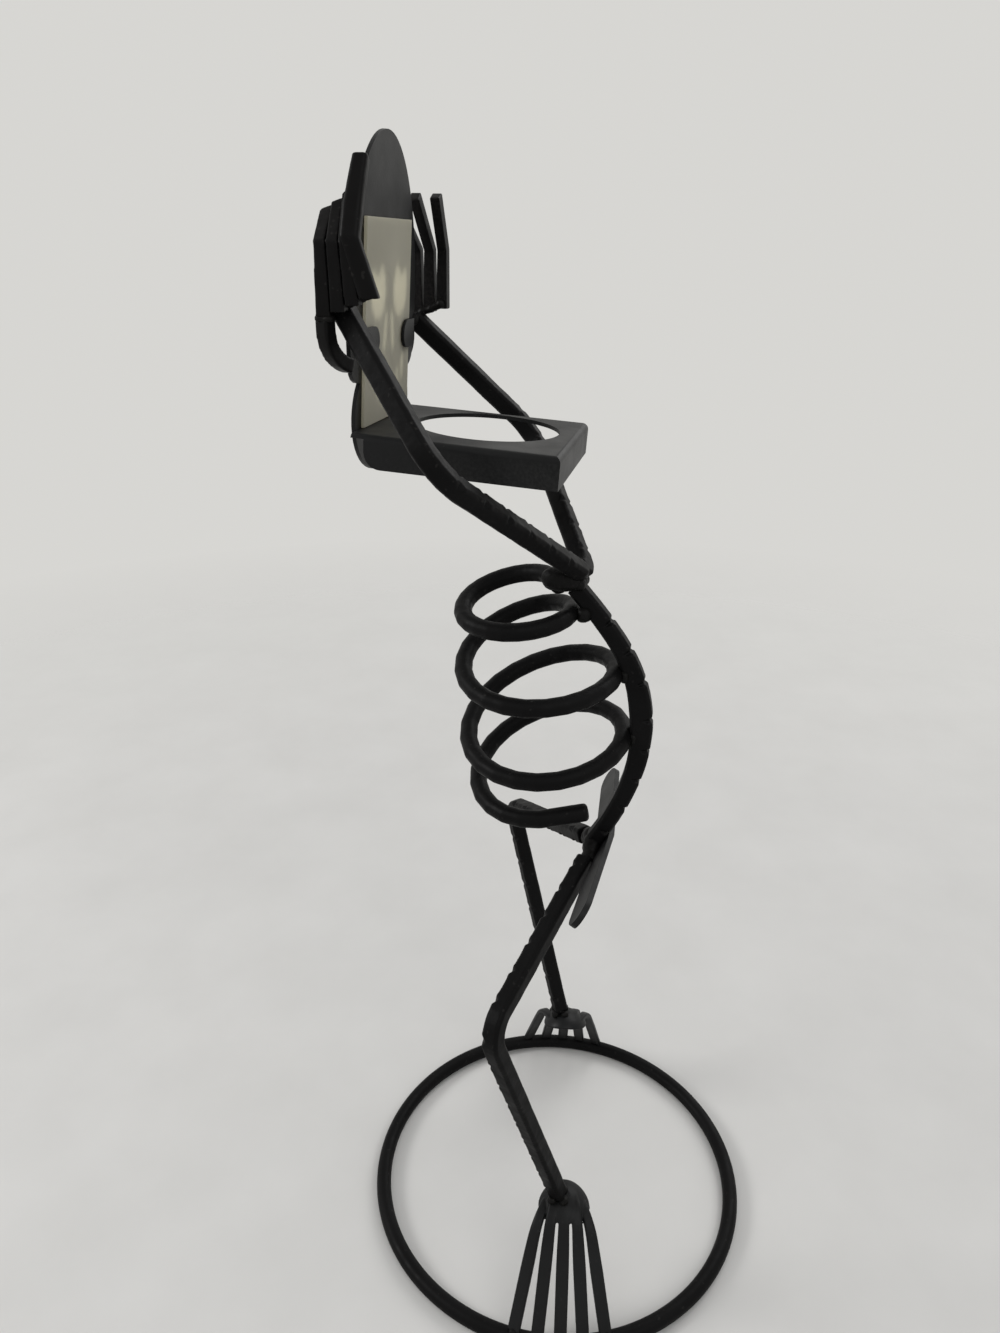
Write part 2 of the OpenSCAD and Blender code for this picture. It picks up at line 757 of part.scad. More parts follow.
// drawn as on the left side, hand 0 is the left one and hand 1 the right one
module on_hand(hand) {
    body()
        if (hand == 0)
            children();
        else
            mirror([1, 0, 0])
                children();
}
function finger_x(hand) = wrists[hand][0] + slant_half + weld_gap + finger / 2;
function finger_foot(hand) = wrists[hand][2] - half * 0.7;
function knuckle_up(hand) = finger_low + hand_drops[hand] * 0.8;
hand_backs = [left_hand_back, right_hand_back];
function finger_y(hand, i) = wrists[hand][1] + hand_backs[hand] - (1.5 - i) * finger_pitch;
// how much higher each finger's foot lies than the front one's
function finger_rise(hand, i) = finger_step * (hand == 0 ? i / 3 : sqrt(i / 3));
// the left fingers are drawn together at the knuckles, the right ones fan out
function knuckle_y(hand, i) = hand == 0
    ? finger_y(0, 0) + finger_gap + i * slim_pitch
    : finger_y(1, i) + finger_gap * (i - 1.5);
function finger_fan(hand, i) = hand == 0 ? left_fan : mix(right_front_fan, right_back_fan, i / 3);
function finger_curl(i) = mix(finger_front_curl_angle, finger_back_curl_angle, i / 3);
// on the left hand the back finger stands far above the others, on the right the tops lie nearly level
function finger_tip(hand, i) = hand == 0
    ? mix(left_front_tip, left_back_tip, pow(i / 3, 3))
    : mix(right_front_tip, right_back_tip, i / 3);
function finger_top(hand, i) =
    knuckle_up(hand) + finger_tip(hand, i) * cos(finger_curl(i)) + finger / 2 * sin(finger_curl(i));
// on the left hand the ends of all but the back finger slope down towards the front
function finger_fall(hand, i) =
    let (j = max(i, 1))
    hand == 0 && i < 3 ? finger_top(0, j) - finger_top(0, j - 1) : 0;
// as seen from the front, and as seen from the side
function finger_front_view(hand, i) =
    let (
        low = knuckle_up(hand),
        knuckle = low * [sin(finger_lean_angle), cos(finger_lean_angle)],
        curl = finger_curl(i)
    )
    strip(
        [
            knuckle * finger_rise(hand, i) / low,
            knuckle,
            knuckle + finger_tip(hand, i) * [-sin(curl), cos(curl)]
        ],
        finger
    );
function finger_side_view(hand, i) =
    let (
        low = knuckle_up(hand),
        top = finger_top(hand, i),
        fall = finger_fall(hand, i),
        front = -finger_slim / 2,
        back = finger_slim / 2,
        y = knuckle_y(hand, i),
        tip_y = y - finger_fan(hand, i),
        spare = fall > 0 ? 0 : finger / 2
    )
    [
        [finger_y(hand, i) - finger / 2, 0], [finger_y(hand, i) + finger / 2, 0], [y + back, low],
        [tip_y + back, top + spare], [tip_y + front, top + spare - fall * 0.8], [y + front, low]
    ];
module finger_bar(hand, i) {
    wide = 8 * finger;
    color(iron)
        on_hand(hand)
            translate([finger_x(hand), 0, finger_foot(hand)])
                intersection() {
                    translate([0, finger_y(hand, i) + wide / 2, 0])
                        rotate([90, 0, 0])
                            linear_extrude(height = wide)
                                polygon(finger_front_view(hand, i));
                    translate([-wide, 0, 0])
                        rotate([90, 0, 90])
                            linear_extrude(height = 2 * wide)
                                polygon(finger_side_view(hand, i));
                }
}
finger_drops = 9;
thumb_drop = finger * 0.75;
thumb_sweep_angle = 70;
thumb_hook = [
    for (i = [1:8])
        let (a = thumb_sweep_angle * i / 8)
        [-thumb_r * (1 - cos(a)), -thumb_drop - thumb_r * sin(a)]
];
thumb_line = concat(
    [[0, 0], [0, -thumb_drop]],
    thumb_hook,
    [thumb_hook[7] - thumb_tip * [sin(thumb_sweep_angle), cos(thumb_sweep_angle)]]
);
module thumb_bar(hand) {
    color(iron)
        on_hand(hand)
            translate([finger_x(hand), finger_y(hand, 0), finger_foot(hand) - weld_gap])
                rotate([90, 0, hand == 0 ? -thumb_turn_angle : thumb_turn_angle])
                    linear_extrude(height = finger, center = true)
                        polygon(strip(thumb_line, finger));
}
module left_finger_1() { finger_bar(0, 0); }
module left_finger_2() { finger_bar(0, 1); }
module left_finger_3() { finger_bar(0, 2); }
module left_finger_4() { finger_bar(0, 3); }
module left_thumb() { thumb_bar(0); }
module right_finger_1() { finger_bar(1, 0); }
module right_finger_2() { finger_bar(1, 1); }
module right_finger_3() { finger_bar(1, 2); }
module right_finger_4() { finger_bar(1, 3); }
module right_thumb() { thumb_bar(1); }

// Welds: each bead bites into the pieces that it joins
module shoulder_weld() {
    color(weld_iron)
        body()
            bead(
                bend_apex + half * (arm_down - arm_marked - [0.9, 0, 0]),
                bend_apex + half * (arm_down - arm_marked + [0.9, 0, 0]),
                weld_r * 1.2, 4
            );
}
module rib_welds() {
    color(weld_iron)
        body()
            for (n = [0:floor(rib_turn_count)])
                let (
                    p = rib_point(n),
                    q = [spine_side(p[2]), spine_back(p[2]) - spine_half(p[2]), p[2]],
                    m = mix(p + [0, rib_r, 0], q, 0.5)
                )
                bead(m - [weld_r, 0, 0], m + [weld_r, 0, 0], weld_r, 3);
}
module hip_welds() {
    color(weld_iron)
        both_sides()
            bead(
                hip + weld_r * [-0.7, 0.7, 0],
                spine_foot + weld_r * [1, -0.45, -0.55],
                weld_r * 1.5, 4
            );
}
module ankle_welds() {
    color(weld_iron)
        both_sides()
            for (a = [45:90:315])
                translate([ankle_out + half * 1.05 * cos(a), half * 1.05 * sin(a), foot_top + weld_gap])
                    sphere(r = weld_r * 0.8);
}
module toe_welds() {
    color(weld_iron)
        both_sides()
            translate([toe_start[0], toe_start[1], 0])
                for (i = [0:toe_count - 1])
                    let (end = toe_end(toe_angle(i)))
                    rotate([0, 0, toe_angle(i)])
                        translate([end[0] + foot_sheet * 0.3, 0, end[1]])
                            sphere(r = foot_sheet * 0.65);
}
module hand_welds() {
    hand_bead = weld_r * 0.7;
    color(weld_iron)
        for (hand = [0, 1])
            on_hand(hand) {
                // along the feet of the fingers
                translate([finger_x(hand) - finger / 2, 0, finger_foot(hand) + hand_bead])
                    bead(
                        [0, finger_y(hand, 0), 0],
                        [0, finger_y(hand, 3), finger_step],
                        hand_bead, finger_drops
                    );
                // from the foot of the front finger to the thumb
                translate([finger_x(hand) - finger * 0.3, finger_y(hand, 0), finger_foot(hand)])
                    sphere(r = hand_bead);
                // from the wrist to the edge of the face
                translate([skull_half(hand_up(hand)), wrists[hand][1], wrists[hand][2]])
                    sphere(r = weld_r);
            }
}
module tray_welds() {
    color(weld_iron)
        head()
            for (s = [-1:1])
                translate([s * tray_w * 0.3, 0, -sheet])
                    bead([-weld_r, 0, 0], [weld_r, 0, 0], weld_r * 0.65, 3);
}

base_ring();
left_foot();
right_foot();
left_leg();
right_leg();
pelvis_plate();
spine();
rib_coil();
arms();
candle_tray();
face_plate();
glow_panel();
left_finger_1();
left_finger_2();
left_finger_3();
left_finger_4();
left_thumb();
right_finger_1();
right_finger_2();
right_finger_3();
right_finger_4();
right_thumb();
shoulder_weld();
rib_welds();
hip_welds();
ankle_welds();
toe_welds();
hand_welds();
tray_welds();
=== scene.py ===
# %% [markdown]
# # A wrought iron skeleton that holds a candle
# The holder is bent from square bar: legs, spine and arms, with one round rod wound into a rib cage.
# The head is cut from sheet, and a loose cream panel stands behind the face.
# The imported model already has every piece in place, in metres, so this lesson only adds what hammer,
# welding torch and paint leave behind. It then sets up a camera and soft light.

import json
import math

import bmesh
import bpy
from mathutils import Matrix, Vector


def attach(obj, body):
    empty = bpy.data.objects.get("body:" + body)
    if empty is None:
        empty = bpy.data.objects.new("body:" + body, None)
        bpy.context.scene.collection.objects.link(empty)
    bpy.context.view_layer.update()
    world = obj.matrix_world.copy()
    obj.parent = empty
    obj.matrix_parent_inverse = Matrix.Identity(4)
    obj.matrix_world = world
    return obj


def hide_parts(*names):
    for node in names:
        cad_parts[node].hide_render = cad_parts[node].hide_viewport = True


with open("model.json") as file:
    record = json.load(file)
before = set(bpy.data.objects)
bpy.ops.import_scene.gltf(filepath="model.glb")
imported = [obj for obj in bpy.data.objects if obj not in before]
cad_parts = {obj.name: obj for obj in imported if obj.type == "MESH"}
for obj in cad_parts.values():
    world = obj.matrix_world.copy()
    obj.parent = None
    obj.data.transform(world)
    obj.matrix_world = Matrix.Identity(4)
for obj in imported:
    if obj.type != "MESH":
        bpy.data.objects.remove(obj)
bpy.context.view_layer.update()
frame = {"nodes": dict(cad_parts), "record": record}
nodes = frame["nodes"]
# the shop drawing is in millimetres, and Blender works in metres
mm_per_metre = 1000

# %% [markdown]
# ## The camera
# The view is a hand held one, from the figure's left side and a little above the candle tray.
# A camera can be aimed with a Track To constraint, but that leaves no room for the slight tilt of a hand.
# So its matrix is written from three angles: the heading, the downward pitch and the roll.

# %% Camera
heading = math.radians(3.5)
pitch = math.radians(23.27)
roll = math.radians(0.64)
eye = (0.2999, -0.0079, 0.3651)
focal_mm = 26.33
film_mm = 36
nearest = 0.01
level = math.cos(pitch)
right = Vector((-math.sin(heading), math.cos(heading), 0))
forward = Vector((-math.cos(heading) * level, -math.sin(heading) * level, -math.sin(pitch)))
upward = right.cross(forward)
tilted_right = right * math.cos(roll) + upward * math.sin(roll)
tilted_up = upward * math.cos(roll) - right * math.sin(roll)
lens = bpy.data.cameras.new("hand_held_camera")
lens.sensor_fit = "VERTICAL"
lens.sensor_height = film_mm
lens.lens = focal_mm
lens.clip_start = nearest
camera = bpy.data.objects.new("hand_held_camera", lens)
camera.matrix_world = Matrix((
    (tilted_right.x, tilted_up.x, -forward.x, eye[0]),
    (tilted_right.y, tilted_up.y, -forward.y, eye[1]),
    (tilted_right.z, tilted_up.z, -forward.z, eye[2]),
    (0, 0, 0, 1),
))
bpy.context.scene.collection.objects.link(camera)
bpy.context.scene.camera = camera
print("camera looks along", [round(c, 3) for c in forward])

# %% [markdown]
# ## Helpers for materials
# Every finish here is a small node tree. These helpers keep the trees short: one adds a node and sets its
# sockets, one joins two sockets, and one makes a noise of a given grain size in millimetres.
# Object coordinates are used, because they are in metres and stay with a piece when it moves.


# %% Node helpers
def add(tree, kind, **sockets):
    made = tree.nodes.new(kind)
    for key, value in sockets.items():
        made.inputs[key.replace("_", " ")].default_value = value
    return made


def join(tree, source, target):
    tree.links.new(source, target)


def start_material(name):
    made = bpy.data.materials.new(name)
    made.use_nodes = True
    tree = made.node_tree
    return made, tree, tree.nodes["Principled BSDF"]


def grain(tree, size_mm, detail=3.0, roughness=0.55):
    place = add(tree, "ShaderNodeTexCoord")
    scale = mm_per_metre / size_mm
    noise = add(tree, "ShaderNodeTexNoise", Scale=scale, Detail=detail, Roughness=roughness)
    join(tree, place.outputs["Object"], noise.inputs["Vector"])
    return noise.outputs["Fac"]


print("nodes, links and grain ready")


# %% Colour helpers
# most of a noise lies between these two values
noise_low, noise_high = 0.3, 0.7


def ramp(tree, source, low, high):
    made = add(tree, "ShaderNodeValToRGB")
    for stop, (place, colour) in zip(made.color_ramp.elements, (low, high)):
        stop.position = place
        stop.color = colour
    join(tree, source, made.inputs["Fac"])
    return made.outputs["Color"]


def math_node(tree, operation, first, second):
    made = add(tree, "ShaderNodeMath")
    made.operation = operation
    join(tree, first, made.inputs[0])
    join(tree, second, made.inputs[1])
    return made.outputs[0]


# a Mix node has sockets for every kind of data, and these are the places of its colours
mix_first, mix_second, mix_result = 6, 7, 2


def mix_colour(tree, share, first, second):
    made = add(tree, "ShaderNodeMix")
    made.data_type = "RGBA"
    join(tree, share, made.inputs["Factor"])
    join(tree, first, made.inputs[mix_first])
    made.inputs[mix_second].default_value = second
    return made.outputs[mix_result]


def grey(value):
    return (value, value, value, 1)


print("ramps and mixes ready")

# %% [markdown]
# ## Satin black paint over iron
# The iron is sprayed satin black. Up close the coat isn't even: it dries in a fine orange peel, the
# hammered bar shows through as slow waves, and a few specks of dust sit in it. The corners are painted
# greyer, partly paint rubbed thin and partly a painted glint where the edges catch the light. It could be
# one material for all, but then sheet and bar would shine alike. One function makes all the black finishes
# instead, because they differ only in tone, gloss, grain, wear and painted glint.
# Black paint shows its form through its reflections, so the specular level matters more than the colour.

# %% Paint
peel_mm, peel_depth = 0.9, 0.00003
cloud_mm, cloud_lift = 28.0, 1.6
dust_mm = 1.7
cloud_from, cloud_to = 0.35, 0.7
corner_from, corner_to = 0.53, 0.64
patch_from, patch_to, most_glint_and_wear = 0.38, 0.66, 0.8
dust_from, dust_to = 0.70, 0.76
smoother, rougher = 0.05, 0.09


def black_paint(name, coat, glint_wear_and_dust, sheen, roughness, wave_mm, wave_depth_mm, specks):
    made, tree, shader = start_material(name)
    peel = grain(tree, peel_mm, detail=4.0)
    wave = grain(tree, wave_mm, detail=2.0)
    cloud = grain(tree, cloud_mm, detail=3.0)
    dust = grain(tree, dust_mm, detail=1.0)
    lifted = tuple(c * cloud_lift for c in coat[:3]) + (1,)
    coated = ramp(tree, cloud, (cloud_from, coat), (cloud_to, lifted))
    geometry = add(tree, "ShaderNodeNewGeometry")
    # painted highlight: the convex corners take the lighter colour, partly paint rubbed thin and partly a
    # painted glint
    corner = ramp(tree, geometry.outputs["Pointiness"], (corner_from, grey(0)), (corner_to, grey(1)))
    patchy = ramp(tree, peel, (patch_from, grey(0)), (patch_to, grey(most_glint_and_wear)))
    glinting_worn_corners = math_node(tree, "MULTIPLY", corner, patchy)
    speck = ramp(tree, dust, (dust_from, grey(0)), (dust_to, grey(specks)))
    glints_wear_and_dust = math_node(tree, "MAXIMUM", glinting_worn_corners, speck)
    join(tree, mix_colour(tree, glints_wear_and_dust, coated, glint_wear_and_dust), shader.inputs["Base Color"])
    shiny, dull = grey(roughness - smoother), grey(roughness + rougher)
    rough = ramp(tree, wave, (noise_low, shiny), (noise_high, dull))
    join(tree, rough, shader.inputs["Roughness"])
    shader.inputs["Specular IOR Level"].default_value = sheen
    hammered = add(tree, "ShaderNodeBump", Strength=1.0, Distance=wave_depth_mm / mm_per_metre)
    join(tree, wave, hammered.inputs["Height"])
    peeled = add(tree, "ShaderNodeBump", Strength=1.0, Distance=peel_depth)
    join(tree, peel, peeled.inputs["Height"])
    join(tree, hammered.outputs["Normal"], peeled.inputs["Normal"])
    join(tree, peeled.outputs["Normal"], shader.inputs["Normal"])
    return made


print("paint has a peel of", peel_mm, "mm and clouds of", cloud_mm, "mm")

# %% [markdown]
# ## Four black finishes
# Bar and fingers are near black, because a narrow bar catches little light. The flat sheet is shinier, and
# its coat is painted a shade greyer and cooler as a painted reflection of the bright surroundings in its
# flat faces.
# It has more specks, and the welds have the finest waves and the dullest coat.
# Four calls of one recipe keep them a family.

# %% Black finishes
bar_iron = black_paint(
    "bar_iron",
    coat=(0.0036, 0.0035, 0.0036, 1),
    glint_wear_and_dust=(0.035, 0.033, 0.031, 1),
    sheen=0.075,
    roughness=0.46,
    wave_mm=5.0,
    wave_depth_mm=0.18,
    specks=0.3,
)
hand_iron = black_paint(
    "hand_iron",
    coat=(0.0038, 0.0036, 0.0036, 1),
    glint_wear_and_dust=(0.04, 0.037, 0.035, 1),
    sheen=0.075,
    roughness=0.42,
    wave_mm=7.0,
    wave_depth_mm=0.15,
    specks=0.3,
)
sheet_iron = black_paint(
    "sheet_iron",
    # painted reflection: a shade greyer and cooler than the bar's coat, for the bright surroundings mirrored
    # in the flat sheet
    coat=(0.0075, 0.0077, 0.0079, 1),
    glint_wear_and_dust=(0.02, 0.02, 0.0198, 1),
    sheen=0.15,
    roughness=0.42,
    wave_mm=16.0,
    wave_depth_mm=0.08,
    specks=0.6,
)
weld_iron = black_paint(
    "weld_iron",
    coat=(0.0042, 0.004, 0.0038, 1),
    glint_wear_and_dust=(0.03, 0.028, 0.026, 1),
    sheen=0.10,
    roughness=0.48,
    wave_mm=2.2,
    wave_depth_mm=0.15,
    specks=0.2,
)
print("black finishes", [m.name for m in (bar_iron, hand_iron, sheet_iron, weld_iron)])

# %% [markdown]
# ## The translucent panel
# The cream panel lets some of the candle's light through to the face, and daylight through the cut-out eyes
# to the back. A plain Principled surface is opaque, so a share of it is mixed with a Translucent shader.
# Fine fibres and slow clouds in the sheet keep the glow from looking like a flat lamp. Its cream is painted
# darker than the panel's own cream, as painted shade.

# %% Panel finish
fibre_mm, fibre_depth = 1.6, 0.00002
panel_cloud_mm = 18.0
# painted shade: both creams are darker than the panel's own cream, for the shade on its back
shaded_cream_low, shaded_cream_high = (0.43, 0.415, 0.35, 1), (0.49, 0.475, 0.405, 1)
glow_tint = (0.96, 0.93, 0.79, 1)
glow_share = 0.45
panel_shine = 0.3
matte_least, matte_most = 0.55, 0.68
glow_panel, tree, shader = start_material("glow_panel")
fibres = grain(tree, fibre_mm, detail=5.0, roughness=0.7)
clouds = grain(tree, panel_cloud_mm, detail=2.0)
cream = ramp(tree, clouds, (noise_low, shaded_cream_low), (noise_high, shaded_cream_high))
join(tree, cream, shader.inputs["Base Color"])
matte = ramp(tree, fibres, (noise_low, grey(matte_least)), (noise_high, grey(matte_most)))
join(tree, matte, shader.inputs["Roughness"])
shader.inputs["Specular IOR Level"].default_value = panel_shine
tooth = add(tree, "ShaderNodeBump", Strength=1.0, Distance=fibre_depth)
join(tree, fibres, tooth.inputs["Height"])
join(tree, tooth.outputs["Normal"], shader.inputs["Normal"])
through = add(tree, "ShaderNodeBsdfTranslucent", Color=glow_tint)
both = add(tree, "ShaderNodeMixShader", Fac=glow_share)
join(tree, shader.outputs[0], both.inputs[1])
join(tree, through.outputs[0], both.inputs[2])
join(tree, both.outputs[0], tree.nodes["Material Output"].inputs["Surface"])
print("panel lets a share of", glow_share, "through")

# %% [markdown]
# ## Each node gets its finish
# The record says which slot each node takes, and a material of the same name goes on it.
# Materials could also be put on object by object, but a loop over the record can't forget one.

# %% Finishes
finishes = {
    "bar_iron": bar_iron,
    "hand_iron": hand_iron,
    "sheet_iron": sheet_iron,
    "weld_iron": weld_iron,
    "glow_panel": glow_panel,
}
for row in frame["record"]["subparts"]:
    solid = nodes[row["node"]]
    solid.data.materials.clear()
    solid.data.materials.append(finishes[row["material_slot"]])

# %% [markdown]
# ## Sweeping a section
# Some pieces need more than the solid gives: a spine with chisel nicks, toes that widen, runs of weld.
# All of them are a section carried along a line. A Curve object can do that too, but its section can't
# change on the way. So two helpers do it in bmesh: one draws a rounded section, and one joins sections
# to a closed skin. A third makes the skin a piece of the figure, with its finish.


# %% Sweep helpers
def rounded_section(middle, side, up, half_side, half_up, power=0.45, count=12):
    section = []
    for step in range(count):
        turn = 2 * math.pi * (step + 0.5) / count
        across = math.cos(turn)
        along = math.sin(turn)
        across = half_side * math.copysign(abs(across) ** power, across)
        along = half_up * math.copysign(abs(along) ** power, along)
        section.append(middle + side * across + up * along)
    return section


def skin(shape, sections):
    rows = []
    for section in sections:
        rows.append([shape.verts.new(Vector(point) / mm_per_metre) for point in section])
    count = len(rows[0])
    for lower, upper in zip(rows, rows[1:]):
        for k in range(count):
            after = (k + 1) % count
            shape.faces.new((lower[k], lower[after], upper[after], upper[k]))
    shape.faces.new(list(reversed(rows[0])))
    shape.faces.new(rows[-1])


def swept_piece(name, shape, finish, slot, *replaced):
    bmesh.ops.recalc_face_normals(shape, faces=shape.faces)
    mesh = bpy.data.meshes.new(name)
    shape.to_mesh(mesh)
    shape.free()
    mesh.materials.append(finish)
    piece = bpy.data.objects.new(name, mesh)
    bpy.context.scene.collection.objects.link(piece)
    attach(piece, "figure")
    if replaced:
        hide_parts(*replaced)
    return piece


print("sweep helpers ready")

# %% [markdown]
# ## The spine's line
# The spine is one square bar bent to a long bow. The bow is a Bezier curve with four control points, the
# same four that the solid has. The body is turned a little on its legs, so its pieces are drawn straight
# here, and a rotation matrix turns each point at the end.

# %% Bow
body_turn = math.radians(-8.5)
twist = Matrix.Rotation(body_turn, 3, "Z")
bow = [
    Vector((0, 8.5, 171.0)),
    Vector((0, 37.68, 220.54)),
    Vector((-3.08, 17.18, 241.95)),
    Vector((-3.08, -2.56, 263.88)),
]


def bow_point(t):
    u = 1 - t
    return bow[0] * u ** 3 + bow[1] * 3 * u * u * t + bow[2] * 3 * u * t * t + bow[3] * t ** 3


print("spine rises from", bow[0].z, "to", round(bow[-1].z, 1), "mm")

# %% [markdown]
# ## Spread and nicked
# The hammer spread the spine towards the ribs, where the bow is fullest, and a chisel nicked its back
# corner about every twelve millimetres. The solid is a plain bar with shallow notches, so the bar is swept
# again along the same curve. Its section swells and is cut at each nick on the way.

# %% Spine section
bar_half, bar_corner = 2.95, 0.9
nick_places = (5.6, 17.3, 29.2, 40.7, 51.6, 64.5, 75.8, 87.5)
nick_half = 1.1
nick_depth, nick_cut, nick_slope = 1.0, 0.8, 2.2
spread, spread_middle, spread_reach = 1.8, 0.42, 0.2


def nicked_section(middle, side, front, run, share):
    nick = max(0, 1 - min(abs(run - place) for place in nick_places) / nick_half)
    ahead = bar_half + spread * math.exp(-(((share - spread_middle) / spread_reach) ** 2))
    back = -bar_half + nick_depth * nick
    cut = bar_corner + nick_cut * nick
    slope = bar_corner + nick_slope * nick
    corners = (
        (bar_half, ahead - bar_corner),
        (bar_half - bar_corner, ahead),
        (bar_corner - bar_half, ahead),
        (-bar_half, ahead - bar_corner),
        (-bar_half, back + bar_corner),
        (bar_corner - bar_half, back),
        (bar_half - cut, back),
        (bar_half, back + slope),
    )
    return [twist @ (middle + side * x + front * y) for x, y in corners]


print(len(nick_places), "nicks, each", 2 * nick_half, "mm long")

# %% Nicked spine
spine_steps = 360
spine_shape = bmesh.new()
spine_sections = []
spine_run = 0
for k in range(spine_steps + 1):
    here = bow_point(k / spine_steps)
    ahead = bow_point(min(k + 1, spine_steps) / spine_steps)
    back = bow_point(max(k - 1, 0) / spine_steps)
    spine_run += (here - back).length
    way = (ahead - back).normalized()
    side = way.cross(Vector((0, 1, 0))).normalized()
    side = side if side.x > 0 else -side
    front = side.cross(way)
    spine_sections.append(nicked_section(here, side, front, spine_run, k / spine_steps))
skin(spine_shape, spine_sections)
nicked_spine = swept_piece("nicked_spine", spine_shape, bar_iron, "bar_iron", "spine")
print("spine", round(spine_run, 1), "mm long")

# %% [markdown]
# ## Hammered bars and the wound rod
# Hot iron has no crisp facets. The notches along the bars are rounded at their rims, the corners are worn,
# and the wound rod is quite smooth. A Subdivision Surface would need tidy quads, which solids from a CAD
# file don't have. A voxel Remesh turns any closed solid into even quads, and a Smooth modifier then rounds
# them like a file. The bars last get the shallow dents of a hammer, as a Displace with a cloud texture.

# %% Hammer
dents = bpy.data.textures.new("hammer_dents", "CLOUDS")
dents.noise_scale = 0.006
file_bite = 0.5
# this grey of a texture leaves the surface where it is
unmoved = 0.5


def hammer(pieces, voxel_mm, passes, dent_mm):
    for bar in pieces:
        even = bar.modifiers.new("even_skin", "REMESH")
        even.mode = "VOXEL"
        even.voxel_size = voxel_mm / mm_per_metre
        even.use_smooth_shade = True
        file_down = bar.modifiers.new("filed_corners", "SMOOTH")
        file_down.factor = file_bite
        file_down.iterations = passes
        if dent_mm:
            dented = bar.modifiers.new("dented", "DISPLACE")
            dented.texture = dents
            dented.texture_coords = "LOCAL"
            dented.strength = dent_mm / mm_per_metre
            dented.mid_level = unmoved
    print("hammered", [bar.name for bar in pieces], "by", dent_mm, "mm")


print("hammer dents are", dents.noise_scale * mm_per_metre, "mm wide")

# %% Bars and rods
hammer([nodes["left_leg"], nodes["right_leg"], nodes["arms"]], voxel_mm=0.35, passes=2, dent_mm=0.25)
hammer([nicked_spine], voxel_mm=0.3, passes=1, dent_mm=0.15)
hammer([nodes["rib_coil"], nodes["base_ring"]], voxel_mm=0.45, passes=6, dent_mm=0)

# %% [markdown]
# ## The rod's lower end
# The wound rod ends in a rounded tip a little way past the last turn's solid. A tip like this is filed
# round before the rod is wound. Here it is a short sweep that starts inside the rod and draws in over its
# last millimetre. A half sphere would do too, but it couldn't have this blunter form.

# %% Rod end
rod_end = Vector((21.65, 1.21, 193.28))
rod_way = Vector((-0.053, 0.979, 0.197))
rod_side = rod_way.cross(Vector((0, 0, 1))).normalized()
rod_up = rod_side.cross(rod_way)
# how far past the rod's end, and how thick there
tip_steps = ((-2.0, 3.0), (1.0, 3.05), (2.6, 3.0), (3.2, 2.7), (3.6, 2.1), (3.75, 1.2))
tip_shape = bmesh.new()
tip_sections = []
for run, radius in tip_steps:
    middle = rod_end + rod_way * run
    tip_sections.append(rounded_section(middle, rod_side, rod_up, radius, radius, power=1.0, count=24))
skin(tip_shape, tip_sections)
rod_tip = swept_piece("rod_tip", tip_shape, bar_iron, "bar_iron")
hammer([rod_tip], voxel_mm=0.3, passes=2, dent_mm=0)

# %% [markdown]
# ## Softened edges
# No edge on painted iron is razor sharp. A Bevel modifier rounds the edges of the sheet, the panel and the
# right hand's fingers, after a Weld modifier has joined the points that the import kept apart. Weighted
# normals keep the flats flat. The left hand's fingers are beaten rounder, so they go under the hammer.

# %% Edge helper
same_point = 0.00001
sharp_from = math.radians(28)
edge_rounds = 2


def soften(node_names, width_mm):
    for name in node_names:
        solid = nodes[name]
        weld = solid.modifiers.new("joined", "WELD")
        weld.merge_threshold = same_point
        bevel = solid.modifiers.new("soft_edges", "BEVEL")
        bevel.width = width_mm / mm_per_metre
        bevel.segments = edge_rounds
        bevel.limit_method = "ANGLE"
        bevel.angle_limit = sharp_from
        bevel.use_clamp_overlap = True
        for face in solid.data.polygons:
            face.use_smooth = True
        flats = solid.modifiers.new("flat_flats", "WEIGHTED_NORMAL")
        flats.keep_sharp = False
    print("softened", len(node_names), "nodes by", width_mm, "mm")


print("edges sharper than", round(math.degrees(sharp_from)), "degrees are rounded")

# %% Soft edges
fingers = [name for name in nodes if "finger" in name or "thumb" in name]
right_hand = [name for name in fingers if name.startswith("right")]
left_hand = [name for name in fingers if name.startswith("left")]
# the left hand's back finger gets a shape of its own in the next step
left_beaten = [nodes[name] for name in left_hand if name != "left_finger_4"]
soften(right_hand, width_mm=0.45)
hammer(left_beaten, voxel_mm=0.35, passes=8, dent_mm=0.25)
soften(["face_plate", "candle_tray", "pelvis_plate"], width_mm=0.3)
soften(["glow_panel"], width_mm=0.15)

# %% [markdown]
# ## The left hand's back finger
# This finger was drawn out broader than the others, and its knuckle is pushed forwards over the next
# finger. The solid is a plain bent bar, and a modifier can't widen it at the knuckle alone. So four sections
# along the finger, at tip, middle, knuckle and palm, carry the beaten shape, and the hammer rounds it.

# %% Back finger
finger_line = [
    Vector((21.8, -62.0, 386.2)),
    Vector((27.5, -63.5, 374.5)),
    Vector((31.0, -63.9, 367.0)),
    Vector((31.1, -59.5, 352.4)),
]
finger_halves = (2.1, 2.6, 2.6, 2.8)
finger_thick = 2.2
backward = Vector((0, 1, 0))
finger_shape = bmesh.new()
finger_sections = []
for k, (middle, half) in enumerate(zip(finger_line, finger_halves)):
    before = finger_line[max(k - 1, 0)]
    after = finger_line[min(k + 1, len(finger_line) - 1)]
    outward = (after - before).cross(-backward).normalized()
    outward = outward if outward.x > 0 else -outward
    finger_sections.append(rounded_section(middle, backward, outward, half, finger_thick))
skin(finger_shape, finger_sections)
back_finger = swept_piece("broad_left_finger_4", finger_shape, hand_iron, "hand_iron", "left_finger_4")
hammer([back_finger], voxel_mm=0.35, passes=4, dent_mm=0.25)

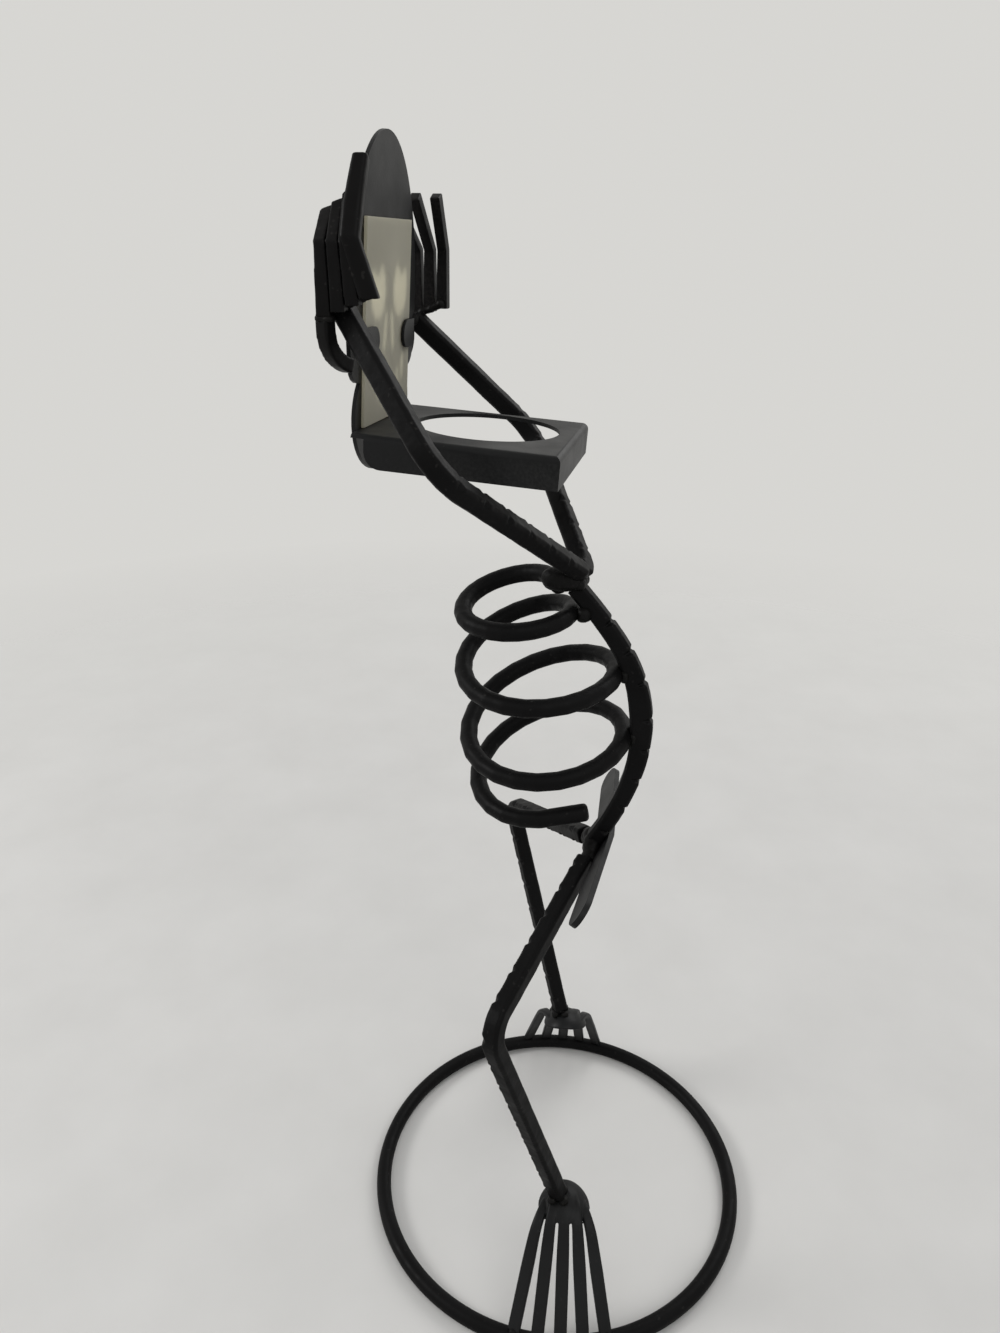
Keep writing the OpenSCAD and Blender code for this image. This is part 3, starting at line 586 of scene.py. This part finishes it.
# %% [markdown]
# ## Feet
# Each foot starts as a flat blank: a round pad with five toes sawn into it. It is beaten over a ball, so
# that the pad becomes a dome and the toes curve down to the ring. The solid has the toes as plain strips
# that fan from one point. Here each toe leaves the rim of the dome where the saw left it, and still stands
# on its own spot of the ring. First come the dome's height and the place where a toe's end stands.

# %% Dome and ring
heel = Vector((37.0, 2.5, 0))
ring_middle, ring_half = 73.0, 3.0
toe_slope = math.radians(62)
toe_bend = 13.0
foot_sheet = 2.4
foot_apex, apex_out, side_fall = 45.1, 7.5, 18
ring_share, ring_gap = 0.5, 0.2


def dome_height(out, aside):
    return foot_apex - (out - apex_out) ** 2 / (2 * toe_bend) - aside ** 2 / side_fall


def toe_end(angle):
    along = heel.x * math.cos(angle) + heel.y * math.sin(angle)
    reach = math.sqrt(along ** 2 - heel.length_squared + ring_middle ** 2) - along
    stand = ring_half * (1 + ring_share * math.cos(toe_slope)) + ring_gap
    out = reach + ring_share * ring_half - math.cos(toe_slope) * stand
    height = ring_half + math.sin(toe_slope) * stand
    return Vector((out * math.cos(angle), out * math.sin(angle), height))


print("middle toe ends at", [round(c, 1) for c in heel + toe_end(0)])

# %% [markdown]
# ## Toe by toe
# A toe's line runs level off the dome, turns down in an arc and goes straight to the ring. It is narrow at
# its root, where the saw cuts meet, and soon has its full width. The line is worked out in side view, as
# run and height, and each section stands square to it.

# %% Toes
toe_count, middle_toe, toe_fan = 5, 2, 13
root_out, root_curve, root_gap = 9.0, 0.4, 3.5
root_half, half_gain, gain_over = 1.5, 0.85, 14
arc_steps, straight_steps = 8, 6


def toe_line(plan, top, end):
    arc_from = plan.length - (top - end.z) / math.tan(toe_slope) - toe_bend * math.tan(toe_slope / 2)
    turns = [toe_slope * k / arc_steps for k in range(arc_steps + 1)]
    line = [(arc_from + toe_bend * math.sin(t), top - toe_bend * (1 - math.cos(t))) for t in turns]
    arc_end, toe_tip = line[-1], (plan.length, end.z)
    for k in range(1, straight_steps + 1):
        line.append(tuple(a + (b - a) * k / straight_steps for a, b in zip(arc_end, toe_tip)))
    return line


def toe_sections(toe):
    aside = toe - middle_toe
    root = Vector((root_out + root_curve * aside ** 2, root_gap * aside, 0))
    end = toe_end(math.radians(toe_fan * aside))
    plan = Vector((end.x - root.x, end.y - root.y, 0))
    ahead = plan.normalized()
    across = Vector((-ahead.y, ahead.x, 0))
    line = toe_line(plan, dome_height(root.x, root.y), end)
    sections = []
    for k, (run, height) in enumerate(line):
        before, after = line[max(k - 1, 0)], line[min(k + 1, len(line) - 1)]
        slope = Vector((after[0] - before[0], after[1] - before[1])).normalized()
        up = Vector((-ahead.x * slope.y, -ahead.y * slope.y, slope.x))
        middle = heel + root + ahead * run + Vector((0, 0, height))
        half = root_half + half_gain * min(1, run / gain_over)
        sections.append(rounded_section(middle, across, up, half, foot_sheet / 2))
    return sections


print("each toe has", len(toe_sections(middle_toe)), "sections")

# %% [markdown]
# ## Pad and feet
# The pad is an oval of sheet that lies on the dome, built as a stack of outlines that draw in at its upper
# and lower rim. A Boolean union of pad and toes could leave slivers where they meet at a flat angle.
# A voxel Remesh welds the six forms into one skin instead, and a Smooth modifier files the edges.

# %% Feet
pad_out, pad_half_long, pad_half_wide = 9.5, 8.2, 9.6
pad_points, rim_draw = 48, 0.1
rim_turns = [math.radians(a) for a in range(-84, 85, 12)]


def pad_sections():
    sections = []
    for turn in rim_turns:
        share = math.sqrt(math.cos(turn)) - rim_draw * (1 - math.cos(turn))
        lift = Vector((0, 0, foot_sheet / 2 * math.sin(turn)))
        section = []
        for step in range(pad_points):
            out = pad_out + pad_half_long * share * math.cos(2 * math.pi * step / pad_points)
            aside = pad_half_wide * share * math.sin(2 * math.pi * step / pad_points)
            section.append(heel + Vector((out, aside, dome_height(out, aside))) + lift)
        sections.append(section)
    return sections


for name, side in (("left_foot", 1), ("right_foot", -1)):
    foot_shape = bmesh.new()
    for toe in range(toe_count):
        skin(foot_shape, toe_sections(toe))
    skin(foot_shape, pad_sections())
    bmesh.ops.scale(foot_shape, vec=(side, 1, 1), verts=foot_shape.verts)
    foot = swept_piece("beaten_" + name, foot_shape, sheet_iron, "sheet_iron", name)
    hammer([foot], voxel_mm=0.3, passes=4, dent_mm=0)

# %% [markdown]
# ## Weld beads
# A weld isn't a row of balls: the metal runs together and freezes in soft ripples. A Remesh modifier melts
# the drops of each bead into one skin, a Smooth modifier lets it sag, and a Displace modifier with a fine
# cloud texture roughens it.

# %% Melted beads
lumps = bpy.data.textures.new("weld_lumps", "CLOUDS")
lumps.noise_scale = 0.0022
lumps.noise_depth = 1
ripple_height = 0.0005


def melt(beads, sag_passes):
    for bead in beads:
        hammer([bead], voxel_mm=0.35, passes=sag_passes, dent_mm=0)
        ripple = bead.modifiers.new("ripples", "DISPLACE")
        ripple.texture = lumps
        ripple.texture_coords = "LOCAL"
        ripple.strength = ripple_height
        ripple.mid_level = unmoved


beads = [nodes[name] for name in nodes if name.endswith(("_weld", "_welds")) and name != "rib_welds"]
melt(beads, sag_passes=10)

# %% [markdown]
# ## Flat runs of weld
# Along the spine the drops would stand out like beads on a string, so flat runs of weld replace them there.
# Two more runs close the seams between the front fingers and the thumbs. Each is a sweep across the bar
# that draws in at both ends, and it melts like the others.

# %% Weld runs
run_turns = [math.radians(a) for a in range(-80, 81, 16)]
run_points = 20


def weld_run(shape, middle, half_sizes, power):
    half_across, half_deep, half_tall = half_sizes
    side, up = Vector((0, 1, 0)), Vector((0, 0, 1))
    sections = []
    for turn in run_turns:
        share = math.cos(turn) ** power
        here = Vector(middle) + Vector((half_across * math.sin(turn), 0, 0))
        section = rounded_section(here, side, up, half_deep * share, half_tall * share, power, run_points)
        sections.append([twist @ point for point in section])
    skin(shape, sections)


# middle and half sizes, from the shoulder down
spine_runs = (
    ((0.3, -6.8, 267.0), (3.6, 6.6, 4.0)),
    ((-0.7, 0.9, 255.2), (3.1, 2.6, 2.6)),
    ((-0.8, 15.5, 234.7), (3.0, 1.7, 2.5)),
    ((-0.4, 19.8, 212.7), (3.0, 1.7, 2.6)),
)
round_run = 0.8
run_shape = bmesh.new()
for middle, half_sizes in spine_runs:
    weld_run(run_shape, middle, half_sizes, round_run)
rib_runs = swept_piece("rib_weld_runs", run_shape, weld_iron, "weld_iron", "rib_welds")
print(len(spine_runs), "runs of weld on the spine")

# %% Thumb seams
seam_places = ((29.2, -72.0, 347.2), (-49.05, -62.5, 340.8))
seam_half_sizes = (2.65, 2.65, 0.9)
square_run = 0.4
untwist = twist.inverted()
seam_shape = bmesh.new()
for place in seam_places:
    weld_run(seam_shape, untwist @ Vector(place), seam_half_sizes, square_run)
thumb_seams = swept_piece("thumb_seams", seam_shape, weld_iron, "weld_iron")
melt([rib_runs, thumb_seams], sag_passes=3)

# %% [markdown]
# ## Floor
# A plain pale floor takes the figure's shadow. A floor that ran to the horizon would end in a line, so this
# disc fades away at its rim, by a mix with a Transparent shader, into a sky of the same pale colour.

# %% Floor
floor_radius, floor_sides = 1.6, 96
floor_mesh = bpy.data.meshes.new("floor")
shape = bmesh.new()
bmesh.ops.create_circle(shape, cap_ends=True, segments=floor_sides, radius=floor_radius)
shape.to_mesh(floor_mesh)
shape.free()
floor = bpy.data.objects.new("floor", floor_mesh)
bpy.context.scene.collection.objects.link(floor)
print("floor laid,", floor_radius, "m to its rim")

# %% Floor paint
floor_cloud_mm = 60.0
floor_dim, floor_clear = (0.66, 0.65, 0.625, 1), (0.70, 0.69, 0.665, 1)
floor_rough, floor_shine = 0.7, 0.2
fade_from, fade_to = 0.35, 1.0
floor_paint, tree, shader = start_material("floor_paint")
floor_clouds = grain(tree, floor_cloud_mm, detail=5.0)
pale = ramp(tree, floor_clouds, (noise_low, floor_dim), (noise_high, floor_clear))
join(tree, pale, shader.inputs["Base Color"])
shader.inputs["Roughness"].default_value = floor_rough
shader.inputs["Specular IOR Level"].default_value = floor_shine
place = add(tree, "ShaderNodeTexCoord")
reach = add(tree, "ShaderNodeVectorMath")
reach.operation = "LENGTH"
join(tree, place.outputs["Object"], reach.inputs[0])
fade = ramp(tree, reach.outputs["Value"], (fade_from, grey(0)), (fade_to, grey(1)))
nothing = add(tree, "ShaderNodeBsdfTransparent")
faded = add(tree, "ShaderNodeMixShader")
join(tree, fade, faded.inputs[0])
join(tree, shader.outputs[0], faded.inputs[1])
join(tree, nothing.outputs[0], faded.inputs[2])
join(tree, faded.outputs[0], tree.nodes["Material Output"].inputs["Surface"])
floor_mesh.materials.append(floor_paint)
print("floor fades from", fade_from, "to", fade_to, "m")

# %% [markdown]
# ## Lamps
# Large soft lamps keep the colours as they are written and draw long, gentle lights along the bars.
# The lamp on the face's side also shines through the cut-outs and lights the panel from behind. Sun lamps
# would be simpler, but they give hard edges to every shadow.


# %% Lamps
def lamp(name, place, aim, size, watts):
    light = bpy.data.lights.new(name, "AREA")
    light.shape = "DISK"
    light.size = size
    light.energy = watts
    made = bpy.data.objects.new(name, light)
    made.location = place
    made.rotation_euler = (Vector(aim) - Vector(place)).to_track_quat("-Z", "Y").to_euler()
    bpy.context.scene.collection.objects.link(made)


lamp("face_side_lamp", place=(0.1, -1.3, 0.9), aim=(0, -0.03, 0.3), size=0.5, watts=8.0)
lamp("back_lamp", place=(-0.9, 0.7, 1.1), aim=(0, 0, 0.25), size=1.0, watts=6.0)
lamp("camera_side_lamp", place=(0.9, 0.5, 1.2), aim=(0, 0, 0.2), size=1.0, watts=3.5)
print("three lamps hung")

# %% [markdown]
# ## Sky
# An even sky fills the shadows. What the camera sees of it, and what the paint mirrors, is a warmer pale
# colour, which a Light Path node picks out, so the backdrop can be bright without lighting the iron more.

# %% Sky
daylight_colour, daylight_strength = (0.97, 0.98, 1.0, 1), 0.5
backdrop_colour, backdrop_strength = (1.0, 0.99, 0.955, 1), 0.68
sky = bpy.data.worlds.new("sky")
bpy.context.scene.world = sky
sky.use_nodes = True
sky_tree = sky.node_tree
daylight = sky_tree.nodes["Background"]
daylight.inputs["Color"].default_value = daylight_colour
daylight.inputs["Strength"].default_value = daylight_strength
backdrop = add(sky_tree, "ShaderNodeBackground", Color=backdrop_colour, Strength=backdrop_strength)
path = add(sky_tree, "ShaderNodeLightPath")
seen = math_node(sky_tree, "MAXIMUM", path.outputs["Is Camera Ray"], path.outputs["Is Glossy Ray"])
seen = math_node(sky_tree, "MAXIMUM", seen, path.outputs["Is Transmission Ray"])
either = add(sky_tree, "ShaderNodeMixShader")
join(sky_tree, seen, either.inputs[0])
join(sky_tree, daylight.outputs[0], either.inputs[1])
join(sky_tree, backdrop.outputs[0], either.inputs[2])
join(sky_tree, either.outputs[0], sky_tree.nodes["World Output"].inputs["Surface"])
bpy.context.scene.view_settings.view_transform = "Standard"
print("sky lit at", daylight_strength, "and seen at", backdrop_strength)
